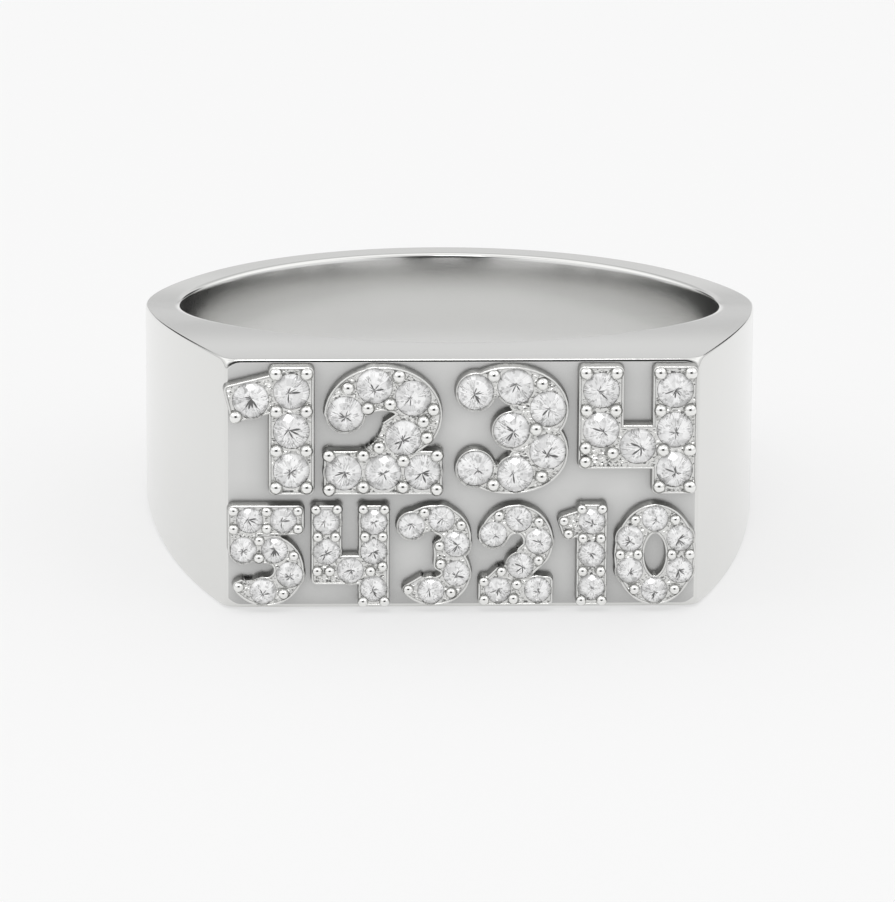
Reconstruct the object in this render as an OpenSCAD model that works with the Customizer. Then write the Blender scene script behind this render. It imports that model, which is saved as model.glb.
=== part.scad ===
// Flat-top ring whose oblong face carries two rows of raised plates shaped as plain numerals.
// Every plate is set with one line of round stones, held by small beads of metal.
// The ring lies on its side as it rests by itself, with the finger hole nearly upright.

/* [Band] */
// Inside diameter of the finger hole
hole_d = 19.8; // [16:0.1:22]
// Outside diameter of the round back of the band
band_d = 22.5; // [22.4:0.1:26]
// Height of the band at its back
back_h = 6.64; // [4:0.1:8]
// Distance behind the hole's axis at which the band starts to grow taller
taper_start = 6.75; // [3:0.25:9]
// Angle below the widest point at which the flat flanks leave the round back
flank_angle = 4; // [1:1:12]
// Width of the bevel round both mouths of the finger hole
mouth_bevel = 0.25; // [0.1:0.05:0.4]

/* [Face] */
// Width of the flat face
face_w = 16.62; // [14:0.1:18]
// Height of the flat face
face_h = 8.98; // [8.9:0.02:9.6]
// Distance from the hole's axis to the flat face
face_y = 12.9; // [12:0.1:15]
// Distance from the face's side edges to the outermost plates
side_margin = 0.06; // [0.02:0.02:0.1]
// Distance from the face's lower edge to the lower row
lower_margin = 0.15; // [0.1:0.01:0.2]
// Distance between the two rows
row_gap = 0.36; // [0.3:0.01:0.4]

/* [Numeral plates] */
// Height of the plates above the face
relief = 0.45; // [0.4:0.05:0.6]
// Height of the upper row of numerals
upper_h = 4.62; // [4.5:0.02:4.62]
// Height of the lower row of numerals
lower_h = 3.68; // [3.6:0.02:3.68]
// Width of a stroke in the upper row
upper_stroke = 1.6; // [1.5:0.02:1.6]
// Width of a stroke in the lower row
lower_stroke = 1.08; // [1.04:0.02:1.1]
// Width of the raised rim round each plate
rim_w = 0.08; // [0.06:0.01:0.1]
// Height of the rim above the plate's floor
rim_h = 0.06; // [0.04:0.01:0.1]
// Radius of the plates' outer corners
corner_r = 0.12; // [0.05:0.01:0.15]

/* [Stones and beads] */
// Diameter of a stone in the upper row
upper_stone = 1.28; // [1.2:0.02:1.28]
// Diameter of a stone in the lower row
lower_stone = 0.94; // [0.86:0.02:0.94]
// Radius of a holding bead in the upper row
upper_bead = 0.19; // [0.15:0.01:0.2]
// Radius of a holding bead in the lower row
lower_bead = 0.14; // [0.1:0.01:0.15]
// Clearance between a stone and its seat
seat_gap = 0.04; // [0.03:0.01:0.05]

/* [Hidden] */
$fn = 48;

band_r = band_d / 2;
hole_r = hole_d / 2;
beyond = 1;            // how far a cutter runs past what it cuts
facets = 8;            // sides of a stone's table; its girdle has twice as many
table_share = 0.56;    // table width as a share of a stone's diameter
crown_share = 0.15;    // crown height as a share of a stone's diameter
pavilion_share = 0.43; // depth below the girdle as a share of a stone's diameter
girdle_sink = 0.05;    // how far a girdle lies below the plate's floor
clear = 0.02;          // how far a bead stays off the stones and the rim
neighbours = 3.1;      // stones closer than this many radii share a pair of beads
floor_z = relief - rim_h;

// Half the band's height at depth y: an even back, then a smooth rise to the face
function half_h(y) =
    let (t = min(1, max(0, (taper_start - y) / (taper_start + face_y))))
    back_h / 2 + (face_h - back_h) / 2 * (1 - cos(180 * t)) / 2;

// Lying by itself, the ring touches down at its back edge and under its head
rest_tilt = atan(max([for (y = [-face_y : 0.25 : 0]) (half_h(y) - back_h / 2) / (band_r - y)]));
rest_lift = band_r * sin(rest_tilt) + back_h / 2 * cos(rest_tilt);
front_reach = (face_y + floor_z + lower_bead) * cos(rest_tilt) + (face_h / 2 - lower_margin) * sin(rest_tilt);
back_reach = band_r * cos(rest_tilt) + back_h / 2 * sin(rest_tilt);

// Column numbers of the two tables of numerals, and of a row's record
NUMERAL = 0;
CELL_W = 1;
STONES = 2;
CELLS = 0;
HEIGHT = 1;
STROKE = 2;
STONE_D = 3;
BEAD_R = 4;
CENTRE_Z = 5;

// Columns: numeral, width of its cell, stone centres measured from the cell's centre
upper_row = [
    [1, 3.05, [[0.725, 1.42], [0.725, 0], [0.725, -1.42], [-0.70, 1.12]]],
    [2, 4.16, [[-1.32, 0.60], [-0.30, 1.60], [1.05, 1.17], [0.71, -0.25],
               [-1.39, -1.50], [0, -1.50], [1.39, -1.50]]],
    [3, 4.10, [[-1.22, 1.38], [0.18, 1.58], [1.32, 0.76], [0.05, 0],
               [1.32, -0.76], [0.18, -1.58], [-1.22, -1.38]]],
    [4, 4.20, [[-1.30, 1.43], [-1.30, 0], [0, -0.58], [1.30, 1.43], [1.30, 0], [1.30, -1.43]]],
];
lower_row = [
    [5, 2.70, [[0.62, 1.29], [-0.56, 1.29], [-0.78, 0.22], [0.30, 0.20], [0.83, -0.70], [-0.10, -1.30]]],
    [4, 2.75, [[-0.83, 1.22], [-0.83, 0.14], [0, -0.54], [0.83, 1.22], [0.83, 0.14], [0.83, -1.22]]],
    [3, 2.65, [[-0.78, 1.07], [0.27, 1.30], [0.80, 0.39], [0.80, -0.67], [-0.10, -1.30]]],
    [2, 2.65, [[-0.78, 0.74], [0.10, 1.30], [0.80, 0.48], [0.16, -0.40], [-0.62, -1.28], [0.78, -1.28]]],
    [1, 1.65, [[0.285, 1.20], [0.285, 0], [0.285, -1.20]]],
    [0, 2.90, [[0, 1.30], [0.88, 0.58], [0.88, -0.58], [0, -1.30], [-0.88, -0.58], [-0.88, 0.58]]],
];

// A row's cells, numeral height, stroke width, stone diameter, bead radius and centre above the face's centre
UPPER = [upper_row, upper_h, upper_stroke, upper_stone, upper_bead,
    -face_h / 2 + lower_margin + lower_h + row_gap + upper_h / 2];
LOWER = [lower_row, lower_h, lower_stroke, lower_stone, lower_bead, -face_h / 2 + lower_margin + lower_h / 2];

function arc(cx, cy, rx, ry, from, to, steps = 14) =
    [for (i = [0 : steps]) let (a = from + (to - from) * i / steps) [cx + rx * cos(a), cy + ry * sin(a)]];

// Centre lines of a numeral in a cell w by h, as pairs of a stroke's width and its points
function strokes(numeral, w, h, s) =
    let (a = (w - s) / 2, b = (h - s) / 2)
    numeral == 0 ? [[s, arc(0, 0, a, b, 85, 275)], [s, arc(0, 0, a, b, -95, 95)]] :
    numeral == 1 ? [[s, [[a, h / 2], [a, -h / 2]]],
                    [0.86 * s, [[a, h / 2 - 0.5 * s], [-w / 2, h / 2 - 0.85 * s]]]] :
    numeral == 2 ? [[s, concat(arc(0, 0.38 * b, a, 0.62 * b, 186, -28), [[-a, -b]])],
                    [s, [[-w / 2, -b], [w / 2, -b]]]] :
    numeral == 3 ? [[s, arc(0, b / 2, a, b / 2, 158, -90)], [s, arc(0, -b / 2, a, b / 2, 90, -158)]] :
    numeral == 4 ? [[s, [[-a, h / 2], [-a, -0.6 * b]]], [s, [[-w / 2, -0.4 * b], [a, -0.4 * b]]],
                    [s, [[a, h / 2], [a, -h / 2]]]] :
    [[s, [[w / 2, b], [-w / 2, b]]], [s, [[-a, h / 2], [-a, 0.2 * b - 0.2 * s]]],
     [s, arc(0, -0.4 * b, a, 0.6 * b, 140, -160)]];

function sum_to(list, n) = n <= 0 ? 0 : list[n - 1] + sum_to(list, n - 1);

// Centre of each cell of a row along the face, with equal gaps between the cells
function cell_x(row) =
    let (widths = [for (cell = row) cell[CELL_W]],
         gap = (face_w - 2 * side_margin - sum_to(widths, len(widths))) / (len(widths) - 1))
    [for (i = [0 : len(row) - 1]) -face_w / 2 + side_margin + sum_to(widths, i) + widths[i] / 2 + i * gap];

// Distance from a point to the line between two others
function line_distance(p, a, b) =
    let (d = b - a, t = min(1, max(0, (p - a) * d / max(d * d, 1e-9))))
    norm(p - a - t * d);

// How deep a point lies inside a numeral's strokes
function depth_inside(p, lines) =
    max([for (line = lines) for (i = [0 : len(line[1]) - 2])
        line[0] / 2 - line_distance(p, line[1][i], line[1][i + 1])]);

// Places where a bead can hold stones: in the hollows between two neighbours,
// and in the corners of a stroke's ends
function bead_places(stones, lines, r, bead) = concat(
    [for (i = [0 : len(stones) - 2]) for (j = [i + 1 : len(stones) - 1])
        let (gap = norm(stones[j] - stones[i]), along = (stones[j] - stones[i]) / gap,
             out = sqrt(max(0, pow(r + bead + clear, 2) - gap * gap / 4)))
        if (gap < neighbours * r) for (side = [-1, 1])
            (stones[i] + stones[j]) / 2 + side * out * [-along[1], along[0]]],
    [for (line = lines) for (end = [0, 1])
        let (last = len(line[1]) - 1, tip = line[1][end * last], next = line[1][end == 0 ? 1 : last - 1],
             along = (next - tip) / norm(next - tip), inset = bead + clear)
        for (side = [-1, 1]) tip + inset * along + side * (line[0] / 2 - inset) * [-along[1], along[0]]]);

// Keeps the places that lie inside the plate and clear of the stones and of the beads before them
function keep_beads(places, stones, lines, w, h, r, bead, kept = [], i = 0) =
    i == len(places) ? kept :
    let (p = places[i],
         fits = depth_inside(p, lines) > bead && abs(p[0]) < w / 2 - bead && abs(p[1]) < h / 2 - bead
             && min([for (q = stones) norm(p - q)]) > r + bead
             && min([w, for (q = kept) norm(p - q)]) > 2 * bead)
    keep_beads(places, stones, lines, w, h, r, bead, fits ? concat(kept, [p]) : kept, i + 1);

// One point of the bevel cutter: corner 0 and 1 above the rim, corner 2 down in the hole
function bevel_point(a, corner) =
    let (past = mouth_bevel / 2, wide = hole_r + mouth_bevel,
         r = corner == 0 ? wide + past : hole_r - past,
         z = corner == 2 ? half_h(hole_r * sin(a)) - mouth_bevel - past : half_h(wide * sin(a)) + past)
    [r * cos(a), r * sin(a), z];

// Everything is drawn with the hole's axis upright and the face towards -Y, and then laid down to rest
module at_rest() {
    translate([0, (front_reach - back_reach) / 2, rest_lift]) rotate([-rest_tilt, 0, 0]) children();
}

module on_face(x, z) {
    translate([x, -face_y, z]) rotate([90, 0, 0]) children();
}

module plan_outline() {
    flank_y = band_r * sin(flank_angle);
    corner = [face_w / 2, -face_y];
    start = [band_r * cos(flank_angle), -flank_y];
    chord = norm(corner - start);
    turn = atan((start[0] - corner[0]) / (start[1] - corner[1])) - flank_angle;
    flank_r = chord / 2 / sin(turn);
    // the round back
    intersection() {
        circle(r = band_r);
        translate([-band_r - beyond, -flank_y]) square([2 * (band_r + beyond), band_r + flank_y + beyond]);
    }
    // the two long flanks and the face
    intersection() {
        flank_disc(flank_r, 1);
        flank_disc(flank_r, -1);
        translate([-band_r, -face_y]) square([2 * band_r, face_y - flank_y]);
    }
    // a strip across the seam, which joins the two
    translate([-hole_r, -flank_y - beyond]) square([2 * hole_r, 2 * beyond]);
}

// A large disc whose edge is one flank: it meets the round back without a corner
module flank_disc(r, side) {
    out = band_r - r;
    translate([side * out * cos(flank_angle), -out * sin(flank_angle)]) circle(r = r);
}

module side_profile() {
    steps = 24;
    ys = concat([for (i = [0 : steps]) taper_start - (taper_start + face_y) * i / steps], [-face_y - beyond]);
    top = [for (y = ys) [y, half_h(y)]];
    bottom = [for (i = [len(ys) - 1 : -1 : 0]) [ys[i], -half_h(ys[i])]];
    back = band_r + beyond;
    polygon(concat([[back, back_h / 2]], top, bottom, [[back, -back_h / 2]]));
}

module mouth_cutter() {
    steps = 48;
    polyhedron(
        points = [for (i = [0 : steps - 1]) for (corner = [0 : 2]) bevel_point(360 * i / steps, corner)],
        faces = [for (i = [0 : steps - 1]) for (corner = [0 : 2])
            let (here = 3 * i, next = 3 * ((i + 1) % steps), c = (corner + 1) % 3)
            for (tri = [[here + corner, next + corner, next + c], [here + corner, next + c, here + c]]) tri]);
}

module band() {
    difference() {
        intersection() {
            translate([0, 0, -face_h]) linear_extrude(2 * face_h) plan_outline();
            rotate([90, 0, 90]) translate([0, 0, -band_r - beyond])
                linear_extrude(2 * (band_r + beyond)) side_profile();
        }
        cylinder(r = hole_r, h = 2 * face_h, center = true);
        mouth_cutter();
        mirror([0, 0, 1]) mouth_cutter();
    }
}

// How far a piece of a stroke runs past its end, so that its outer corner meets the next piece's
function mitre(width, points, i) =
    i == 0 || i == len(points) - 1 ? 0 :
    let (u = points[i] - points[i - 1], v = points[i + 1] - points[i])
    width / 2 * tan(acos(min(1, u * v / norm(u) / norm(v))) / 2);

module stroke(width, points) {
    for (i = [0 : len(points) - 2]) {
        run = points[i + 1] - points[i];
        before = mitre(width, points, i);
        after = mitre(width, points, i + 1);
        translate(points[i]) rotate(atan2(run[1], run[0])) translate([-before, -width / 2])
            square([before + norm(run) + after, width]);
    }
}

// The strokes joined with a disc round each stone, corners rounded
module plate_outline(lines, stones, d) {
    offset(r = corner_r, $fn = 12) offset(delta = -corner_r) {
        for (line = lines) stroke(line[0], line[1]);
        for (p = stones) translate(p) circle(d = d + 2 * rim_w, $fn = 24);
    }
}

// Straight wall down past the girdle, then a cone that clears the stone's point
module seat(d) {
    wall = girdle_sink + seat_gap;
    depth = pavilion_share * d + 2 * seat_gap;
    tip_d = 0.1;
    translate([0, 0, floor_z - wall]) cylinder(d = d + 2 * seat_gap, h = wall + beyond);
    translate([0, 0, floor_z - wall - depth]) cylinder(d1 = tip_d, d2 = d + 2 * seat_gap, h = depth);
}

module plate(lines, stones, d) {
    root = 0.3;    // how deep a plate is sunk into the head
    difference() {
        translate([0, 0, -root]) linear_extrude(relief + root) plate_outline(lines, stones, d);
        translate([0, 0, floor_z]) linear_extrude(beyond)
            offset(delta = -rim_w) plate_outline(lines, stones, d);
    }
}

module row_plates(row) {
    xs = cell_x(row[CELLS]);
    for (i = [0 : len(xs) - 1]) {
        cell = row[CELLS][i];
        lines = strokes(cell[NUMERAL], cell[CELL_W], row[HEIGHT], row[STROKE]);
        on_face(xs[i], row[CENTRE_Z]) plate(lines, cell[STONES], row[STONE_D]);
    }
}

module row_seats(row) {
    xs = cell_x(row[CELLS]);
    for (i = [0 : len(xs) - 1]) for (p = row[CELLS][i][STONES])
        on_face(xs[i], row[CENTRE_Z]) translate(p) seat(row[STONE_D]);
}

module row_beads(row) {
    xs = cell_x(row[CELLS]);
    for (i = [0 : len(xs) - 1]) {
        cell = row[CELLS][i];
        stone_r = row[STONE_D] / 2;
        lines = strokes(cell[NUMERAL], cell[CELL_W], row[HEIGHT], row[STROKE]);
        places = bead_places(cell[STONES], lines, stone_r, row[BEAD_R]);
        for (p = keep_beads(places, cell[STONES], lines, cell[CELL_W], row[HEIGHT], stone_r, row[BEAD_R]))
            on_face(xs[i], row[CENTRE_Z]) translate([p[0], p[1], floor_z]) sphere(r = row[BEAD_R]);
    }
}

// A round stone: a flat table, a crown and a pavilion of plain facets, and a point
module stone(d) {
    sides = 2 * facets;
    table = [for (i = [0 : facets - 1]) let (a = 360 * i / facets)
        [table_share * d / 2 * cos(a), table_share * d / 2 * sin(a), crown_share * d]];
    girdle = [for (i = [0 : sides - 1]) let (a = 360 * i / sides) [d / 2 * cos(a), d / 2 * sin(a), 0]];
    culet = facets + sides;
    polyhedron(
        points = concat(table, girdle, [[0, 0, -pavilion_share * d]]),
        faces = concat(
            [[for (i = [facets - 1 : -1 : 0]) i]],
            [for (i = [0 : facets - 1]) [i, (i + 1) % facets, facets + 2 * i + 1]],
            [for (i = [0 : facets - 1]) [i, facets + 2 * i + 1, facets + 2 * i]],
            [for (i = [0 : facets - 1]) [i, facets + 2 * i, facets + (2 * i + sides - 1) % sides]],
            [for (i = [0 : sides - 1]) [facets + i, facets + (i + 1) % sides, culet]]));
}

module row_stones(row) {
    xs = cell_x(row[CELLS]);
    for (i = [0 : len(xs) - 1]) for (p = row[CELLS][i][STONES])
        on_face(xs[i], row[CENTRE_Z]) translate([p[0], p[1], floor_z - girdle_sink]) stone(row[STONE_D]);
}

// The cast metal: band, head, plates, seats and beads in one piece
module ring_body() {
    color("silver") at_rest() {
        difference() {
            union() {
                band();
                row_plates(UPPER);
                row_plates(LOWER);
            }
            row_seats(UPPER);
            row_seats(LOWER);
        }
        row_beads(UPPER);
        row_beads(LOWER);
    }
}

module stones_upper() {
    color("azure") at_rest() row_stones(UPPER);
}

module stones_lower() {
    color("aliceblue") at_rest() row_stones(LOWER);
}

ring_body();
stones_upper();
stones_lower();
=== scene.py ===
"""A flat-top silver ring with two rows of numerals in relief, set with brilliants that beads of metal hold.

Lengths are millimetres in the ring's own frame: the finger hole's axis is Z and the face looks along -Y.
place() lays each piece down to rest, in metres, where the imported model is.
"""

import math
from functools import partial

import bpy
import numpy as np
from mathutils import Matrix, Vector, geometry


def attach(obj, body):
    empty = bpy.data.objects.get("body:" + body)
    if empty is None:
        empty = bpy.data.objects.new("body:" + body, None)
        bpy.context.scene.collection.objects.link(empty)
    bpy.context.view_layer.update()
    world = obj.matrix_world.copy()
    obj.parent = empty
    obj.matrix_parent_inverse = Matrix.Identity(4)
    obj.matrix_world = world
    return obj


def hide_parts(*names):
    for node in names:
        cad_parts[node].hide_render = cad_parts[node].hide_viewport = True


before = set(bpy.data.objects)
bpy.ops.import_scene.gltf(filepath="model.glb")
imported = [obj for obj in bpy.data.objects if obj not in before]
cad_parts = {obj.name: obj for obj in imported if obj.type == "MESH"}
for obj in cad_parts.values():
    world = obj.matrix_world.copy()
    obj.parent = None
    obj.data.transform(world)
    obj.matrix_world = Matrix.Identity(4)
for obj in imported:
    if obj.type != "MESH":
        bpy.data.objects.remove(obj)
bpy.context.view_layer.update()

# The ring's sizes, as in the part's source
HOLE_R = 9.9
BAND_R = 11.25
BACK_H = 6.64        # the band's height at the back, where it is even
TAPER_START = 6.75   # how far behind the hole's axis it starts to rise towards the face
FLANK_ANGLE = 4.0    # degrees past the widest point where a flank leaves the round of the back
FACE_W = 16.62
FACE_H = 8.98
FACE_Y = 12.9        # from the hole's axis to the face
SIDE_MARGIN = 0.06   # from the face's sides to the plates
LOWER_MARGIN = 0.15  # from the face's lower edge to the lower plates
ROW_GAP = 0.36
RELIEF = 0.45        # how high the plates stand above the face
RIM_W = 0.08
RIM_H = 0.06
GIRDLE_SINK = 0.05   # how deep a stone's girdle lies in the cut metal
FLOOR_Z = RELIEF - RIM_H  # height of the cut metal between the stones

# Eased edges, which only the visual model has
BORE_MID_R = HOLE_R - 0.04  # the finger hole's wall bulges in a little half way, for an easy fit
BORE_FLARE = 0.12           # how much wider it gets from there to its mouths
LIP_WIDE = 0.26             # round of the hole's two mouths, across the top
LIP_DEEP = 0.09             # the same, down the hole
EDGE_R = 0.06               # how far the round of the band's outer edges reaches in
EDGE_FALL = 2               # how many times further it drops, as a wheel run along the edge leaves it
CORNER_R = 0.14             # round of the two upright edges of the face
CORNER_TOP_R = 0.80         # round of the top's flat where those edges meet it
STROKE_END_R = 0.20         # round of the corners of the numerals' stroke ends

# Where the band's mesh has its points: steps round each curve, and shares of each straight or long run
BACK_STEPS = 72
CORNER_STEPS = 7
EDGE_STEPS = 8
FLANK_SHARES = np.array([*np.linspace(0.04, 0.94, 25), 0.958, 0.972, 0.984, 0.994])
FACE_SHARES = (0.993, 0.98, 0.965, 0.948, 0.93, 0.9, 0.75, 0.5, 0.25, 0)
BORE_SHARES = (0, 0.2, 0.4, 0.55, 0.68, 0.78, 0.86, 0.92, 0.97)
TOP_SHARES = (0.02, 0.15, 0.3, 0.45, 0.6, 0.75, 0.88, 0.98)
OUTSIDE_SHARES = (0.995, 0.95, 0.75, 0.5, 0.25, 0)
NEAR = 1e-4  # mm, how near to a surface counts as on it

# The rows of numerals. A cell has its numeral, its width and its stones' places from the middle of the cell
UPPER = dict(
    name="upper",
    height=4.62,
    stroke=1.6,
    stone_d=1.28,
    bead_r=0.24,
    cells=[
        (1, 3.05, [(0.725, 1.42), (0.725, 0), (0.725, -1.42), (-0.70, 1.12)]),
        (2, 4.16, [(-1.32, 0.60), (-0.30, 1.60), (1.05, 1.17), (0.71, -0.25),
                   (-1.39, -1.50), (0, -1.50), (1.39, -1.50)]),
        (3, 4.10, [(-1.22, 1.38), (0.18, 1.58), (1.32, 0.76), (0.05, 0),
                   (1.32, -0.76), (0.18, -1.58), (-1.22, -1.38)]),
        (4, 4.20, [(-1.30, 1.43), (-1.30, 0), (0, -0.58), (1.30, 1.43), (1.30, 0), (1.30, -1.43)]),
    ])
LOWER = dict(
    name="lower",
    height=3.68,
    stroke=1.08,
    stone_d=0.94,
    bead_r=0.195,
    cells=[
        (5, 2.70, [(0.62, 1.29), (-0.56, 1.29), (-0.78, 0.22), (0.30, 0.20), (0.83, -0.70), (-0.10, -1.30)]),
        (4, 2.75, [(-0.83, 1.22), (-0.83, 0.14), (0, -0.54), (0.83, 1.22), (0.83, 0.14), (0.83, -1.22)]),
        (3, 2.65, [(-0.78, 1.07), (0.27, 1.30), (0.80, 0.39), (0.80, -0.67), (-0.10, -1.30)]),
        (2, 2.65, [(-0.78, 0.74), (0.10, 1.30), (0.80, 0.48), (0.16, -0.40), (-0.62, -1.28), (0.78, -1.28)]),
        (1, 1.65, [(0.285, 1.20), (0.285, 0), (0.285, -1.20)]),
        (0, 2.90, [(0, 1.30), (0.88, 0.58), (0.88, -0.58), (0, -1.30), (-0.88, -0.58), (-0.88, 0.58)]),
    ])
LOWER["centre_z"] = -FACE_H / 2 + LOWER_MARGIN + LOWER["height"] / 2
UPPER["centre_z"] = -FACE_H / 2 + LOWER_MARGIN + LOWER["height"] + ROW_GAP + UPPER["height"] / 2
ROWS = (UPPER, LOWER)


# Where the ring rests
def half_height(y):
    """Half the band's height at depth y: even at the back, then a smooth rise to the face."""
    rise = np.clip((TAPER_START - y) / (TAPER_START + FACE_Y), 0, 1)
    return BACK_H / 2 + (FACE_H - BACK_H) / 2 * (1 - np.cos(math.pi * rise)) / 2


DEPTH_STEP = 0.25
LOWER_BEAD_CAD = 0.14  # bead radius in the part's source, which sets the part's reach to the front
depths = np.arange(-FACE_Y, 0.01, DEPTH_STEP)
REST_TILT = math.atan(max((half_height(depths) - BACK_H / 2) / (BAND_R - depths)))
REST_LIFT = BAND_R * math.sin(REST_TILT) + BACK_H / 2 * math.cos(REST_TILT)
FRONT_REACH = ((FACE_Y + FLOOR_Z + LOWER_BEAD_CAD) * math.cos(REST_TILT)
               + (FACE_H / 2 - LOWER_MARGIN) * math.sin(REST_TILT))
BACK_REACH = BAND_R * math.cos(REST_TILT) + BACK_H / 2 * math.sin(REST_TILT)
REST = (Matrix.Scale(0.001, 4) @ Matrix.Translation((0, (FRONT_REACH - BACK_REACH) / 2, REST_LIFT))
        @ Matrix.Rotation(-REST_TILT, 4, "X"))


# Materials
def hex_colour(code):
    """Linear colour of an sRGB hex code."""
    channels = [int(code[i:i + 2], 16) / 255 for i in (1, 3, 5)]
    return tuple(c / 12.92 if c <= 0.04045 else ((c + 0.055) / 1.055) ** 2.4 for c in channels) + (1,)


def add_node(tree, kind, settings=None, **links):
    """Adds a node, gives it its settings and fills its sockets.

    A socket goes by its name, with _ for a space, or by _ and its number. It takes a value, another node's
    output, or another node, whose first output is meant.
    """
    node = tree.nodes.new(kind)
    for name, value in (settings or {}).items():
        setattr(node, name, value)
    for name, value in links.items():
        socket = node.inputs[int(name[1:])] if name[1:].isdigit() else node.inputs[name.replace("_", " ")]
        source = value.outputs[0] if isinstance(value, bpy.types.Node) else value
        if isinstance(source, bpy.types.NodeSocket):
            tree.links.new(source, socket)
        else:
            socket.default_value = source
    return node


def new_material(name, **values):
    """Makes a material and sets its shader's own sockets, which go by their names with _ for a space."""
    material = bpy.data.materials.new(name)
    material.use_nodes = True
    tree = material.node_tree
    shader = tree.nodes["Principled BSDF"]
    for socket, value in values.items():
        shader.inputs[socket.replace("_", " ")].default_value = value
    return material, tree, shader


def polished_silver():
    # Sterling silver, cast, plated white and mirror polished: a clear reflection, a little soft in patches.
    # Real wheel marks are too fine to show, so the patches are 1.4 mm across, 700 to the metre
    material, tree, shader = new_material("polished_silver", Metallic=1, Base_Color=hex_colour("#E1E1DF"))
    place_of = add_node(tree, "ShaderNodeTexCoord")
    wheel = add_node(tree, "ShaderNodeTexNoise", Vector=place_of.outputs["Object"], Scale=700.0, Detail=3.0)
    gloss = add_node(tree, "ShaderNodeMapRange", Value=wheel, To_Min=0.08, To_Max=0.14)
    tree.links.new(gloss.outputs["Result"], shader.inputs["Roughness"])
    return material


def tumbled_silver():
    # Sterling silver in the finger hole, tumbled and not buffed: it blurs what it mirrors, so its tone goes
    # softly from dark under the mouth to light
    return new_material("tumbled_silver", Metallic=1, Base_Color=hex_colour("#EAEAE9"), Roughness=0.14)[0]


def satin_silver():
    # Sterling silver rubbed with fine paper between the numerals: it spreads the light, so it looks grey.
    # Within 0.9 mm of
    # # the foot of the plates' walls its colour is darkened by ambient occlusion: painted shade
    material, tree, shader = new_material("satin_silver", Metallic=1, Roughness=0.24)
    painted_wall_shade = add_node(tree, "ShaderNodeAmbientOcclusion", {"samples": 8}, Distance=0.0009)
    painted_wall_shade = add_node(tree, "ShaderNodeMapRange", Value=painted_wall_shade.outputs["AO"], From_Min=0.45, From_Max=1.0)
    colour = add_node(tree, "ShaderNodeMix", {"data_type": "RGBA"}, _0=painted_wall_shade,
                      _6=hex_colour("#B3B3B2"), _7=hex_colour("#D9D9D8"))
    tree.links.new(colour.outputs[2], shader.inputs["Base Color"])
    # rubbing marks of 0.05 mm, 20000 to the metre
    place_of = add_node(tree, "ShaderNodeTexCoord")
    marks = add_node(tree, "ShaderNodeTexNoise", Vector=place_of.outputs["Object"], Scale=20000.0, Detail=2.0)
    bump = add_node(tree, "ShaderNodeBump", Strength=0.08, Distance=0.00001, Height=marks)
    tree.links.new(bump.outputs["Normal"], shader.inputs["Normal"])
    return material


def dull_shaded_silver():
    # Sterling silver as graver and polish leave it in a narrow groove, dull and rough. Its darker colour is
    # painted
    # # shade: grey lines round the bright rims, on the plates' walls and round the beads' feet
    return new_material("dull_shaded_silver", Metallic=1, Base_Color=hex_colour("#AEAEAC"), Roughness=0.45)[0]


def bright_cut_silver():
    # Sterling silver cut with a graver between the stones: small bright facets, which the mesh gives
    return new_material("bright_cut_silver", Metallic=1, Base_Color=hex_colour("#E0E0DE"), Roughness=0.26)[0]


def burnished_silver():
    # Sterling silver pushed up with a cupped punch into beads, which are smoother than the metal round them
    return new_material("burnished_silver", Metallic=1, Base_Color=hex_colour("#F2F2F0"), Roughness=0.12)[0]


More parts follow.
